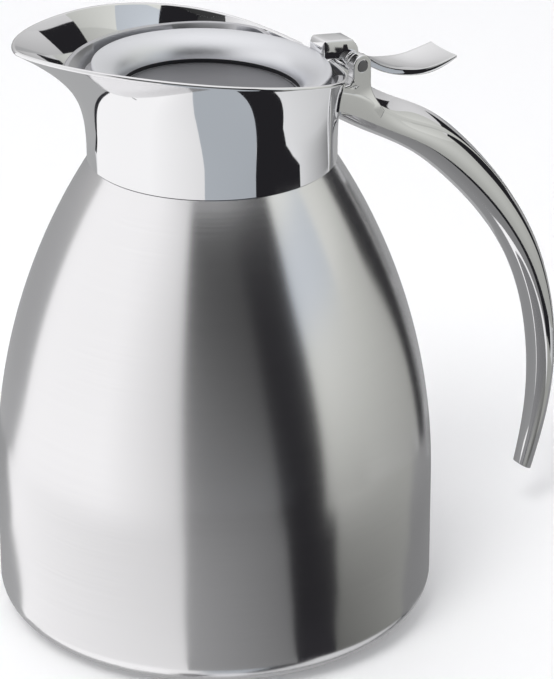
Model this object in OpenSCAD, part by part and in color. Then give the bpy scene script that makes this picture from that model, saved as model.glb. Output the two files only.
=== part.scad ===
// Insulated pouring jug: double-walled steel flask, spouted collar, hook handle and a
// hinged lid worked by a thumb lever. The jug stands on z = 0 with its axis on the origin,
// the handle towards +X and the spout towards -X.

/* [Body] */
// Diameter of the body
body_d = 130; // [126:1:134]
// Height of the seam between the shoulder and the collar
seam_z = 142.3; // [140:0.1:145]
// Height where the straight side turns into the shoulder
side_top = 42; // [38:1:46]
// Radius of the rounded bottom corner
corner_r = 10; // [8:0.5:12]
// Thickness of the outer sheet
sheet = 0.8; // [0.6:0.1:1]
// Gap between the outer shell and the inner flask
vacuum_gap = 5.3; // [4.5:0.1:6]

/* [Collar] */
// Diameter of the collar where it meets the body
collar_d = 72.6; // [72:0.1:73.2]
// Height of the rim at the two sides
rim_z = 176; // [175:0.5:177]
// How far the rim flares out beyond the collar
rim_flare = 6.6; // [6:0.1:7]
// How far the spout reaches beyond the flared rim
spout_reach = 20.2; // [18:0.1:22]
// Half the angle that the spout takes up
spout_angle = 32; // [28:1:36]
// Thickness of the collar's wall
collar_wall = 1.3; // [1.1:0.1:1.5]

/* [Lid] */
// Height of the lid's edge on the jug's axis
lid_z = 169.5; // [169:0.1:170]
// Slope of the lid down towards the hinge
lid_tilt = 2.5; // [2:0.1:3]
// Radius of the lid
lid_r = 34.6; // [34.4:0.1:34.8]
// Radius of the sunk disc in the middle of the lid
disc_r = 25.8; // [24:0.1:27]
// Depth of the sunk disc
disc_depth = 7.4; // [6:0.1:8]

/* [Hinge] */
// Distance of the hinge pin from the jug's axis
pin_x = 46.3; // [46:0.1:46.6]
// Height of the hinge pin
pin_z = 163.5; // [163:0.1:164]
// Diameter of the hinge pin
pin_d = 3.2; // [3:0.1:3.4]
// Width of the lever between the lugs
knuckle_w = 8.4; // [8:0.1:8.6]
// Width of the block at the end of the lever
block_w = 7.2; // [6.8:0.1:7.6]

/* [Handle] */
// Width of the handle at its root
handle_w = 16.2; // [15.2:0.5:17.2]
// Width of the handle at its free end
handle_end_w = 7.6; // [7:0.1:8.5]

/* [Hidden] */
$fn = 96;
eps = 0.01;

body_r = body_d / 2;
shoulder_r = 186.3;      // radius of the shoulder's long curve
foot_top = 1;            // top of the foot ring, where the shell's turned-in bottom lies
shell_opening = 48;      // radius of the opening in the shell's bottom
neck_r = 33;             // outside of the shell's neck
neck_top = 156;
flask_sheet = 0.6;
flask_floor = 12;
flask_corner = 12;
mouth_r = neck_r - sheet - flask_sheet;
collar_r = collar_d / 2;
collar_steps = 96;       // facets around the collar
wall_power = 2.7;        // how late the collar's wall turns outwards
spout_power = 1.46;      // how sharply the spout comes to its tip
flange_z = 147;          // ledge inside the collar that the neck ring clamps
flange_t = 2;
notch_depth = 2.2;       // dip in the rim that the lever's arm passes through
notch_angle = 9;
gasket_t = 1.2;
throat_bottom = neck_top + flask_sheet + gasket_t;
seat_drop = 3.5;         // the lid's seat below the lid's edge
flank_power = 2.7;       // how late the handle's flank turns in towards the crown
lug_t = 3.4;
lug_r = 3.4;
lug_in = knuckle_w / 2 + 0.36;
lug_out = lug_in + lug_t;
washer_t = 0.28;
screw_y = 3.6;
screw_z = 154.6;
screw_d = 3;
rivet_x = 31.2;
rivet_y = 5;
rivet_d = 2.4;

function arc(cx, cz, r, from, to, steps) =
    [for (i = [0:steps]) let (a = from + (to - from) * i / steps) [cx + r * cos(a), cz + r * sin(a)]];
function reversed(list) = [for (i = [len(list) - 1:-1:0]) list[i]];
function smooth(t) = let (c = min(max(t, 0), 1)) c * c * (3 - 2 * c);

// One step of a smooth curve through the rows a, b, c and d, between b and c
function blend(a, b, c, d, t) =
    0.5 * (2 * b + (c - a) * t + (2 * a - 5 * b + 4 * c - d) * t * t + (3 * b - a - 3 * c + d) * t * t * t);
// A smooth curve through rows of numbers, with a number of steps between neighbours
function smooth_rows(rows, steps) = let (n = len(rows)) [
    for (i = [0:n - 2], s = [0:steps - 1])
        blend(rows[max(i - 1, 0)], rows[i], rows[i + 1], rows[min(i + 2, n - 1)], s / steps),
    rows[n - 1]];

// Closed solid from rings of equal length, with flat ends
module loft(rings) {
    n = len(rings[0]);
    last = len(rings) - 1;
    polyhedron(
        points = [for (ring = rings, p = ring) p],
        faces = concat(
            [[for (i = [0:n - 1]) i]],
            [for (k = [0:last - 1], i = [0:n - 1]) let (j = (i + 1) % n)
                each [[k * n + j, k * n + i, (k + 1) * n + j], [(k + 1) * n + j, k * n + i, (k + 1) * n + i]]],
            [[for (i = [n - 1:-1:0]) last * n + i]]));
}

// Closed band from rings around the jug, the last one joined to the first
module band(rings) {
    n = len(rings[0]);
    count = len(rings);
    polyhedron(
        points = [for (ring = rings, p = ring) p],
        faces = [for (k = [0:count - 1], i = [0:n - 1])
            let (j = (i + 1) % n, m = (k + 1) % count)
            each [[k * n + j, k * n + i, m * n + j], [m * n + j, k * n + i, m * n + i]]]);
}

// ---------- body ----------

// Outside line of the body from the foot to the neck, moved inwards by inset
function shoulder_end(inset, r) = acos((r - body_r + shoulder_r) / (shoulder_r - inset));
function body_line(inset, top_r) = concat(
    arc(body_r - corner_r, foot_top + corner_r, corner_r - inset, -90, 0, 8),
    arc(body_r - shoulder_r, side_top, shoulder_r - inset, 0, shoulder_end(inset, top_r), 20));

module outer_shell() {
    seam_r = body_r - shoulder_r + sqrt(pow(shoulder_r, 2) - pow(seam_z - side_top, 2));
    outside = concat([[shell_opening, foot_top]], body_line(0, seam_r), [[neck_r, seam_z], [neck_r, neck_top]]);
    inside = concat([[shell_opening, foot_top + sheet]], body_line(sheet, seam_r),
        [[neck_r - sheet, seam_z - sheet], [neck_r - sheet, neck_top]]);
    color("silver") rotate_extrude() polygon(concat(outside, reversed(inside)));
}

// Line of the inner flask, moved inwards by inset
function flask_line(inset) = let (
    gap = sheet + vacuum_gap + inset,
    side_r = body_r - gap,
    wall_r = neck_r - sheet - inset) concat(
    [[0, flask_floor + inset]],
    arc(side_r - flask_corner + inset, flask_floor + flask_corner, flask_corner - inset, -90, 0, 8),
    arc(body_r - shoulder_r, side_top, shoulder_r - gap, 0, shoulder_end(gap, wall_r), 20));

module inner_flask() {
    outside = concat(flask_line(0), [[neck_r - sheet, neck_top], [neck_r, neck_top], [neck_r, neck_top + flask_sheet]]);
    inside = concat(flask_line(flask_sheet), [[mouth_r, neck_top + flask_sheet]]);
    color("gainsboro") rotate_extrude() polygon(concat(outside, reversed(inside)));
}

// Reflecting foil wrapped round the flask inside the vacuum
module heat_foil() {
    foil_t = 0.15;
    gap = sheet + vacuum_gap - 0.15;
    end = shoulder_end(gap, neck_r + 8);
    color("orange") rotate_extrude() polygon(concat(
        [[body_r - gap, flask_floor + flask_corner + 4]],
        arc(body_r - shoulder_r, side_top, shoulder_r - gap, 0, end, 14),
        reversed(arc(body_r - shoulder_r, side_top, shoulder_r - gap + foil_t, 0, end, 14)),
        [[body_r - gap + foil_t, flask_floor + flask_corner + 4]]));
}

module getter() {
    color("dimgray") translate([22, 0, flask_floor - 2.4]) cylinder(d = 11, h = 2.4, $fn = 48);
}

// Pressed disc welded into the bottom of the shell, with the dimple the air is drawn through
module jacket_bottom() {
    base = foot_top + sheet;
    color("lightgray") difference() {
        rotate_extrude() polygon([[0, base + 1.6], [5.4, base + 1.6], [7.4, base + 3.2], [42.7, base + 3.2],
            [46.1, base], [54, base], [54, base + sheet], [46.5, base + sheet], [43, base + 4],
            [7, base + 4], [5, base + 2.4], [0, base + 2.4]]);
        translate([0, 0, base]) cylinder(d = 1.5, h = 5, $fn = 24);
    }
}

module vacuum_seal() {
    base = foot_top + sheet;
    color("darkgoldenrod") {
        translate([0, 0, base + 0.9]) cylinder(d = 6, h = 0.7, $fn = 36);
        translate([0, 0, base + 1.6 - eps]) cylinder(d = 1.5, h = 0.8 + eps, $fn = 24);
    }
}

module base_cover() {
    color("darkgray") rotate_extrude() polygon([[0, 1.2], [44, 1.2], [46.5, 0], [56, 0], [56.5, 0.5], [56, foot_top],
        [47, foot_top], [44.4, 2], [0, 2]]);
}

// ---------- collar ----------

// The angle a runs from 0 at the spout to 180 at the hinge
function rim_reach(a) = collar_r + rim_flare * smooth((172 - a) / 62)
    + spout_reach * exp(-pow(a / spout_angle, spout_power));
function rim_notch(a) = notch_depth * smooth((a - 180 + notch_angle + 5) / 5);
function rim_height(a) = let (u = rim_reach(a) * cos(a) / 40)
    rim_z + 6.88 * u - 2.15 * u * u + 0.75 * u * u * u - rim_notch(a);

// Radius of the collar's outside at a share s of its height, and the slope there
function wall_reach(a, s) = collar_r + (rim_reach(a) - collar_r) * pow(s, wall_power);
function wall_slope(a, s) =
    atan((rim_reach(a) - collar_r) * wall_power * pow(s, wall_power - 1) / (rim_height(a) - seam_z));
function wall_z(a, s) = seam_z + (rim_height(a) - seam_z) * s;
function around(i) = 180 - 360 * i / collar_steps;
function polar(r, i, z) = [r * cos(360 * i / collar_steps), r * sin(360 * i / collar_steps), z];

// A ring on the collar's wall at share s, moved in by depth along the wall's normal
function wall_ring(s, depth) = [for (i = [0:collar_steps - 1])
    let (a = abs(around(i)), slope = wall_slope(a, s))
    polar(wall_reach(a, s) - depth * cos(slope), i, wall_z(a, s) + depth * sin(slope))];
function flat_ring(r, z) = [for (i = [0:collar_steps - 1]) polar(r, i, z)];

module collar() {
    levels = [0, 0.25, 0.42, 0.55, 0.65, 0.74, 0.82, 0.89, 0.95, 1];
    bore_r = collar_r - collar_wall;
    color("whitesmoke") difference() {
        band(concat(
            [for (s = levels) wall_ring(s, 0)],
            [for (k = [9:-1:2]) wall_ring(levels[k], collar_wall)],
            [flat_ring(bore_r, flange_z + flange_t), flat_ring(neck_r + 0.3, flange_z + flange_t),
                flat_ring(neck_r + 0.3, flange_z), flat_ring(bore_r, flange_z), flat_ring(bore_r, seam_z)]));
        for (side = [-1, 1]) translate([neck_r, side * screw_y, screw_z]) rotate([0, 90, 0])
            cylinder(d = screw_d, h = 8, $fn = 36);
    }
}

// Ring screwed on the neck that clamps the collar's inner ledge
module neck_ring() {
    color("gray") translate([0, 0, flange_z + flange_t]) difference() {
        cylinder(r = collar_r - collar_wall - 0.4, h = 3);
        translate([0, 0, -1]) cylinder(r = neck_r + 0.05, h = 5);
    }
}

module neck_gasket() {
    color("white") translate([0, 0, neck_top + flask_sheet]) difference() {
        cylinder(r = neck_r + 0.6, h = gasket_t);
        translate([0, 0, -1]) cylinder(r = mouth_r + 0.3, h = gasket_t + 2);
    }
}

// The throat's upper edge follows the lid's slope and sinks to the seat around the hinge
function edge_sink(a) = smooth((a - 138) / 20);
function seat_z(a) = lid_z - seat_drop + 34 * cos(a) * tan(lid_tilt);
function throat_top(a) = let (k = edge_sink(a))
    (1 - k) * (lid_z + 0.9 + 38 * cos(a) * tan(lid_tilt)) + k * (seat_z(a) + 0.4);
// Radius just inside the collar's wall at height z
function inside_wall(a, z) = let (s = (z - seam_z) / (rim_height(a) - seam_z))
    wall_reach(a, s) - collar_wall / cos(wall_slope(a, s)) - 0.15;
function throat_reach(a) = inside_wall(a, throat_top(a));
// A ring up the throat's outside, at a share t of the way to its edge
function throat_side(t) = [for (i = [0:collar_steps - 1])
    let (a = abs(around(i)), z = throat_bottom + (throat_top(a) - throat_bottom) * t) polar(inside_wall(a, z), i, z)];
function throat_edge(inner) = [for (i = [0:collar_steps - 1])
    let (a = abs(around(i))) polar(throat_reach(a) - inner * (1.4 - edge_sink(a)), i, throat_top(a))];
// A ring on a plane parallel to the lid, drop below the lid's edge
function sloped_ring(r, drop) = [for (i = [0:collar_steps - 1])
    let (a = abs(around(i))) polar(r, i, lid_z - drop + r * cos(a) * tan(lid_tilt))];
function seat_edge() = [for (i = [0:collar_steps - 1])
    let (a = abs(around(i))) polar(min(36.9, throat_reach(a) - 1.4 + edge_sink(a)), i, seat_z(a))];

// Steel throat between the flask's mouth and the spout; its edge is the lid's surround
module throat_ring() color("lightslategray") band([
    flat_ring(34.4, throat_bottom), throat_side(0.3), throat_side(0.6), throat_side(0.8), throat_edge(0),
    throat_edge(1), seat_edge(), sloped_ring(33.2, seat_drop), sloped_ring(32.8, seat_drop + 2),
    flat_ring(mouth_r + 0.6, throat_bottom)]);

// ---------- handle ----------

// Rows of the handle from its root to its free end: crown x and z, inside x and z, half
// width, half width of the top facet and how far the facet's edge lies below the crown
handle_rows = [
    [37.0, 159.4, 37.0, 149.0, 8.1, 8.02, 0.20],
    [44.0, 158.6, 41.8, 146.3, 8.1, 8.02, 0.24],
    [50.5, 155.8, 47.4, 142.6, 8.1, 7.98, 0.32],
    [57.0, 151.3, 54.0, 139.2, 7.95, 7.4, 0.40],
    [64.4, 147.8, 60.4, 135.6, 7.7, 6.4, 0.42],
    [72.8, 143.8, 67.2, 131.4, 7.5, 5.5, 0.36],
    [80.0, 138.2, 73.6, 126.4, 7.3, 4.4, 0.22],
    [87.4, 131.2, 79.8, 120.6, 7.1, 3.6, 0.14],
    [98.1, 119.2, 88.8, 111.4, 6.8, 3.2, 0.12],
    [106.5, 107.0, 96.6, 101.6, 6.6, 3.1, 0.12],
    [113.4, 94.6, 103.4, 91.2, 6.5, 3.0, 0.12],
    [117.9, 81.5, 108.4, 80.2, 6.4, 3.0, 0.12],
    [120.9, 67.5, 112.2, 67.6, 6.3, 2.9, 0.12],
    [121.9, 53.1, 114.2, 53.2, 6.0, 2.9, 0.12],
    [120.3, 38.8, 114.2, 39.4, 5.2, 2.6, 0.12],
    [117.6, 26.6, 112.4, 27.8, 4.4, 2.3, 0.12],
    [113.9, 14.9, 109.6, 16.9, 3.8, 2.0, 0.12]];

// One cross-section of the handle: rounded on the inside, crisp where it is widest,
// with flanks that close in to a domed crown
function handle_section(row, scale_w) = let (
    crown = [row[0], row[1]],
    grip = [row[2], row[3]],
    w = row[4] * scale_w,
    f = row[5] * scale_w,
    edge = 1 - row[6],
    half = concat([[0, 0], [0.5 * w, 0.03], [0.85 * w, 0.11]],
        [for (t = [0, 0.3, 0.55, 0.75, 0.9, 1]) [w + (f - w) * pow(t, flank_power), 0.27 + (edge - 0.27) * t]],
        [[f * 0.72, edge + (1 - edge) * 0.5], [f * 0.38, edge + (1 - edge) * 0.86], [0, 1]]),
    last = len(half) - 1)
    [for (i = [0:2 * last - 1]) let (p = i < last ? half[i] : half[2 * last - i], y = i < last ? p[0] : -p[0],
        at = grip + (crown - grip) * p[1]) [at[0], y, at[1]]];

// Share of the handle's nominal width, from its driving root and end widths
function width_share(t) = (handle_w / 16.2) * (1 - t) + (handle_end_w / 7.6) * t;

module lug() {
    rotate([90, 0, 0]) linear_extrude(height = lug_t) difference() {
        union() {
            translate([pin_x, pin_z]) circle(r = lug_r, $fn = 48);
            polygon([[pin_x - lug_r, pin_z], [pin_x + lug_r, pin_z], [pin_x + lug_r, 157.6], [pin_x + lug_r + 0.3, 155.6],
                [pin_x + lug_r + 1.2, 153.2], [pin_x + lug_r + 2.5, 150.9], [pin_x + lug_r + 4.2, 148.4], [52.5, 146],
                [38.2, 150], [38.2, 158.2], [41.8, 158.8], [pin_x - lug_r, 160.4]]);
        }
        translate([pin_x, pin_z]) circle(d = pin_d, $fn = 48);
    }
}

// Outside of the collar where the handle's root lies against it
module collar_side() {
    hinge_top = rim_height(180) + rim_notch(180);
    side = [for (s = [0:0.125:1.25]) [wall_reach(180, s) + 0.08, seam_z + (hinge_top - seam_z) * s]];
    rotate_extrude() polygon(concat([[0, seam_z]], side, [[0, side[len(side) - 1][1]]]));
}

module handle() {
    rows = smooth_rows(handle_rows, 3);
    color("lightsteelblue") difference() {
        union() {
            loft([for (k = [0:len(rows) - 1]) handle_section(rows[k], width_share(k / (len(rows) - 1)))]);
            for (side = [0, 1]) mirror([0, side, 0]) translate([0, lug_out, 0]) lug();
        }
        collar_side();
        for (side = [-1, 1]) translate([35, side * screw_y, screw_z]) rotate([0, 90, 0])
            cylinder(d = screw_d, h = 9, $fn = 36);
    }
}

module handle_screws() {
    color("dimgray") for (side = [-1, 1]) translate([neck_r + 0.1, side * screw_y, screw_z]) rotate([0, 90, 0]) {
        cylinder(d = 3.8, h = 1.3, $fn = 36);
        cylinder(d = screw_d, h = 9.5, $fn = 36);
    }
}

module hinge_pin() {
    color("gray") translate([pin_x, lug_out - 0.3, pin_z]) rotate([90, 0, 0])
        cylinder(d = pin_d, h = 2 * lug_out - 0.6, $fn = 48);
}

module hinge_washers() {
    color("white") for (side = [0, 1]) mirror([0, side, 0]) translate([pin_x, lug_in, pin_z]) rotate([90, 0, 0])
        difference() {
            cylinder(r = lug_r - 0.4, h = washer_t, $fn = 48);
            translate([0, 0, -1]) cylinder(d = pin_d, h = 2, $fn = 48);
        }
}

// ---------- lid ----------

module on_lid() translate([0, 0, lid_z]) rotate([0, lid_tilt, 0]) children();

// Gap in the lid's edge that the lever's block stands in
module block_space() {
    half = block_w / 2 + 0.12;
    on_lid() translate([33.75, -half, -2.5]) cube([3, 2 * half, 6]);
}

// Foot of the lever, clamped between the lid's cover and its plug
module lever_foot() {
    on_lid() {
        translate([30.4, -7, -2.2]) cube([2.8, 14, 0.8]);
        translate([33, -3.5, -2.2]) cube([3, 7, 0.8]);
    }
}

module rivets(low, high, slack = 0)
    on_lid() for (side = [-1, 1]) translate([rivet_x, side * rivet_y, low])
        cylinder(d = rivet_d + slack, h = high - low, $fn = 36);

module lid_cover() {
    t = 0.8;
    bead = 0.7;
    bead_r = lid_r - bead;
    slope = [for (a = [180:-7.5:97.5])
        [bead_r + (bead_r - disc_r) * cos(a), -disc_depth + (disc_depth + bead - 0.2) * sin(a)]];
    under = [for (a = [90:7.5:180])
        [lid_r - t + (lid_r - 2 * t - disc_r) * cos(a), -disc_depth + (disc_depth + bead - 0.2 - t) * sin(a)]];
    color("whitesmoke") difference() {
        on_lid() rotate_extrude() polygon(concat(
            [[0, -disc_depth + 0.3], [disc_r - 1.1, -disc_depth + 0.3], [disc_r - 0.7, -disc_depth]],
            slope, arc(bead_r, -0.2, bead, 90, 0, 6), [[lid_r, -2.2], [lid_r - t, -2.2]],
            under, [[0, -disc_depth - t + 0.3]]));
        block_space();
    }
}

module lid_plug() {
    color("dimgray") difference() {
        on_lid() rotate_extrude() polygon([[0, -14], [27.6, -14], [28.8, -12.8], [30.2, -3.4], [32.9, -3.4],
            [32.9, -2.2], [33.7, -2.2], [33.7, -1.2], [31.5, -1.6], [29, -2.4], [27.6, -12.6], [0, -12.6]]);
        block_space();
        lever_foot();
        rivets(-4, 0, 0.1);
    }
}

module lid_gasket() {
    color("white") on_lid() translate([0, 0, -seat_drop + 0.1]) difference() {
        cylinder(r = 34.3, h = gasket_t);
        translate([0, 0, -1]) cylinder(r = 32.9, h = gasket_t + 2);
    }
}

module lid_foam() {
    color("khaki") on_lid() translate([0, 0, -12.6]) cylinder(r = 26.4, h = 12.2 - disc_depth - 0.8);
}

module lid_rivets() color("gray") rivets(-3.4, -1.4);

// Rows of the thumb plate: x, top, underside, half width, dish of the top
plate_rows = [
    [45.6, 166.8, 163.0, 3.5, 0.0],
    [48.5, 165.8, 162.0, 3.7, 0.0],
    [51.0, 164.1, 161.3, 4.2, 0.0],
    [54.0, 161.9, 159.6, 5.0, 0.1],
    [58.0, 160.4, 158.2, 6.1, 0.3],
    [62.0, 159.6, 157.4, 6.9, 0.5],
    [66.0, 159.1, 156.9, 7.3, 0.7],
    [70.0, 159.2, 156.9, 7.4, 0.7],
    [74.5, 160.0, 157.9, 7.4, 0.5],
    [79.0, 161.1, 160.0, 7.2, 0.3]];

function plate_section(row) = let (x = row[0], top = row[1], low = row[2], w = row[3], d = row[4], t = top - low)
    [[x, -w, top], [x, -w, top - 0.8 * t], [x, -0.9 * w, low + 0.06 * t], [x, 0, low], [x, 0.9 * w, low + 0.06 * t],
        [x, w, top - 0.8 * t], [x, w, top], [x, 0.5 * w, top - 0.75 * d], [x, 0, top - d], [x, -0.5 * w, top - 0.75 * d]];

module lid_lever() {
    half = knuckle_w / 2;
    color("lightgray") difference() {
        union() {
            translate([0, block_w / 2, 0]) rotate([90, 0, 0]) linear_extrude(height = block_w) polygon([
                [34.5, 166.0], [34.5, 170.6], [35.6, 172.0], [45.3, 170.9], [46.9, 168.5], [47.2, 164.5],
                [43.2, 162.6], [41.8, 165.3], [37, 165.8]]);
            translate([pin_x, half, pin_z]) rotate([90, 0, 0]) cylinder(r = 3.1, h = knuckle_w, $fn = 48);
            loft([for (row = smooth_rows(plate_rows, 3)) plate_section(row)]);
            lever_foot();
        }
        translate([pin_x, half + 1, pin_z]) rotate([90, 0, 0]) cylinder(d = pin_d + 0.1, h = knuckle_w + 2, $fn = 48);
        rivets(-4, 0, 0.1);
    }
}

outer_shell();
inner_flask();
heat_foil();
getter();
jacket_bottom();
vacuum_seal();
base_cover();
collar();
neck_ring();
neck_gasket();
throat_ring();
handle();
handle_screws();
hinge_pin();
hinge_washers();
lid_lever();
lid_cover();
lid_plug();
lid_gasket();
lid_foam();
lid_rivets();
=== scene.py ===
from math import acos, atan, atan2, cos, exp, pi, radians, sin, sqrt, tan

import bpy
import numpy as np
from mathutils import Matrix, Vector


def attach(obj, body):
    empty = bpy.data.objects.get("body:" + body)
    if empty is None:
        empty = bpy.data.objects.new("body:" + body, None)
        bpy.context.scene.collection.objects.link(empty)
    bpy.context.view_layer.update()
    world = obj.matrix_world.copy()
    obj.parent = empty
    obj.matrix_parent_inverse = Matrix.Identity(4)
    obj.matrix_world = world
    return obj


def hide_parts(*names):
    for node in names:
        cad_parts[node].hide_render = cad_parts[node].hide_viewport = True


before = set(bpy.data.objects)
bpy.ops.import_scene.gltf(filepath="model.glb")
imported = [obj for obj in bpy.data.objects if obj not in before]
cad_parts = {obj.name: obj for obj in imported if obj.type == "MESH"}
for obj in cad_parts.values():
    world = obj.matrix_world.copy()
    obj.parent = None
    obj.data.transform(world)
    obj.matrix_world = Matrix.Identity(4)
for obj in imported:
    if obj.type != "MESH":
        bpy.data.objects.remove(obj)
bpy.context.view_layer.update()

# ---- Outer shell ----
# The jacket of the jug: one deep-drawn sheet of stainless steel, brushed around its axis on
# a lathe. Its bottom is turned in for the base cover, and its neck is welded to the flask.
# The jug's sizes are in millimetres, and the studio's are in metres.

mm = 0.001
body_r, shoulder_r, side_top, corner_r = 65.0, 186.3, 42.0, 10.0
sheet, neck_r, neck_top, seam_z, foot_top, opening_r = 0.8, 33.0, 156.0, 142.3, 1.0, 48.0


def arc(cx, cz, r, start, end, steps):
    """Points along an arc, from the start to the end in degrees."""
    return [(cx + r * cos(radians(start + (end - start) * i / steps)),
             cz + r * sin(radians(start + (end - start) * i / steps))) for i in range(steps + 1)]


def shoulder_end(inset, r):
    """Degrees along the shoulder's arc at which it has come in to the radius."""
    return acos((r - body_r + shoulder_r) / (shoulder_r - inset)) * 180 / pi


def body_line(inset, top_r, steps):
    """The body's side from its foot up to a radius, moved in by the inset."""
    return (arc(body_r - corner_r, foot_top + corner_r, corner_r - inset, -90, 0, 16)
            + arc(body_r - shoulder_r, side_top, shoulder_r - inset, 0, shoulder_end(inset, top_r), steps))


def spun_tree():
    """Geometry nodes that spin a line of points about the Z axis, as sheet is spun on a lathe."""
    tree = bpy.data.node_groups.new("spun_sheet", "GeometryNodeTree")
    face = tree.interface
    face.new_socket("Line", in_out="INPUT", socket_type="NodeSocketGeometry")
    face.new_socket("Steps around", in_out="INPUT", socket_type="NodeSocketInt")
    face.new_socket("Finish", in_out="INPUT", socket_type="NodeSocketMaterial")
    face.new_socket("Sheet", in_out="OUTPUT", socket_type="NodeSocketGeometry")
    new, link = tree.nodes.new, tree.links.new
    start, end = new("NodeGroupInput"), new("NodeGroupOutput")

    def maths(operation, a, b):
        node = new("ShaderNodeMath")
        node.operation = operation
        for socket, value in zip(node.inputs, (a, b)):
            if isinstance(value, (int, float)):
                socket.default_value = value
            else:
                link(value, socket)
        return node.outputs[0]

    count = new("GeometryNodeAttributeDomainSize")
    link(start.outputs["Line"], count.inputs[0])
    grid = new("GeometryNodeMeshGrid")
    grid.inputs["Size X"].default_value = grid.inputs["Size Y"].default_value = 1
    link(maths("ADD", start.outputs["Steps around"], 1), grid.inputs["Vertices X"])
    link(count.outputs["Point Count"], grid.inputs["Vertices Y"])
    place, split = new("GeometryNodeInputPosition"), new("ShaderNodeSeparateXYZ")
    link(place.outputs[0], split.inputs[0])
    turn = maths("MULTIPLY", maths("ADD", split.outputs[0], 0.5), 2 * pi)
    last = maths("SUBTRACT", count.outputs["Point Count"], 1)
    step = maths("ROUND", maths("MULTIPLY", maths("ADD", split.outputs[1], 0.5), last), 0)
    pick = new("GeometryNodeSampleIndex")
    pick.data_type = "FLOAT_VECTOR"
    link(start.outputs["Line"], pick.inputs["Geometry"])
    link(place.outputs[0], pick.inputs["Value"])
    link(step, pick.inputs["Index"])
    spin = new("ShaderNodeVectorRotate")
    spin.rotation_type = "Z_AXIS"
    link(pick.outputs[0], spin.inputs["Vector"])
    link(turn, spin.inputs["Angle"])
    move, merge = new("GeometryNodeSetPosition"), new("GeometryNodeMergeByDistance")
    link(grid.outputs["Mesh"], move.inputs["Geometry"])
    link(spin.outputs[0], move.inputs["Position"])
    link(move.outputs[0], merge.inputs["Geometry"])
    merge.inputs["Distance"].default_value = 1e-6
    real, finish = new("GeometryNodeRealizeInstances"), new("GeometryNodeSetMaterial")
    link(merge.outputs[0], real.inputs[0])
    link(real.outputs[0], finish.inputs["Geometry"])
    link(start.outputs["Finish"], finish.inputs["Material"])
    link(finish.outputs[0], end.inputs[0])
    return tree


spun_sheet = spun_tree()


def outward(mesh, crease=32):
    """Faces point outwards, and edges sharper than the crease stay crisp."""
    corners = np.empty(len(mesh.vertices) * 3)
    mesh.vertices.foreach_get("co", corners)
    corners = corners.reshape(-1, 3)
    mesh.calc_loop_triangles()
    tris = np.array([t.vertices[:] for t in mesh.loop_triangles])
    a, b, c = (corners[tris[:, k]] for k in range(3))
    if np.einsum("ij,ij->i", a, np.cross(b, c)).sum() < 0:
        mesh.flip_normals()
    mesh.polygons.foreach_set("use_smooth", [True] * len(mesh.polygons))
    mesh.set_sharp_from_angle(angle=radians(crease))
    mesh.update()
    return mesh


def placed(name, data):
    """A new object in the scene, for a mesh, a curve, a lamp or a camera."""
    made = bpy.data.objects.new(name, data)
    bpy.context.scene.collection.objects.link(made)
    return made


def piece(name, mesh, body, replaced):
    """One finished piece in place of its CAD node."""
    made = placed(name, mesh)
    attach(made, body)
    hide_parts(*replaced)


def settle(maker):
    """The plain mesh that an object's modifiers or curves give; the maker itself is removed."""
    seen = maker.evaluated_get(bpy.context.evaluated_depsgraph_get())
    mesh = bpy.data.meshes.new_from_object(seen)
    bpy.data.objects.remove(maker)
    return mesh


def lay_around(mesh):
    """A map whose first direction runs round the axis, which the brushing follows."""
    around = mesh.uv_layers.new(name="around")
    for face in mesh.polygons:
        spots = [mesh.vertices[v].co for v in face.vertices]
        turns = [atan2(spot.y, spot.x) / (2 * pi) for spot in spots]
        for loop, spot, turn in zip(face.loop_indices, spots, turns):
            around.data[loop].uv = (turn + (max(turns) - turn > 0.5), spot.z)


def spin_line(name, line, finish, steps=256, place=Matrix()):
    """Mesh of a closed line of (radius, height) in millimetres, spun about the axis."""
    line = line + line[:1]
    points = [(r * mm, 0, z * mm) for r, z in line]
    source = bpy.data.meshes.new(name + "_line")
    source.from_pydata(points, [(i, i + 1) for i in range(len(points) - 1)], [])
    maker = placed(name + "_line", source)
    modifier = maker.modifiers.new("spun", "NODES")
    modifier.node_group = spun_sheet
    for label, value in (("Steps around", steps), ("Finish", finish.material)):
        modifier[spun_sheet.interface.items_tree[label].identifier] = value
    mesh = settle(maker)
    mesh.name = name
    lay_around(mesh)
    mesh.transform(place)
    mesh.materials.clear()
    mesh.materials.append(finish.material)
    mesh.polygons.foreach_set("material_index", [0] * len(mesh.polygons))
    return outward(mesh)


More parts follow.
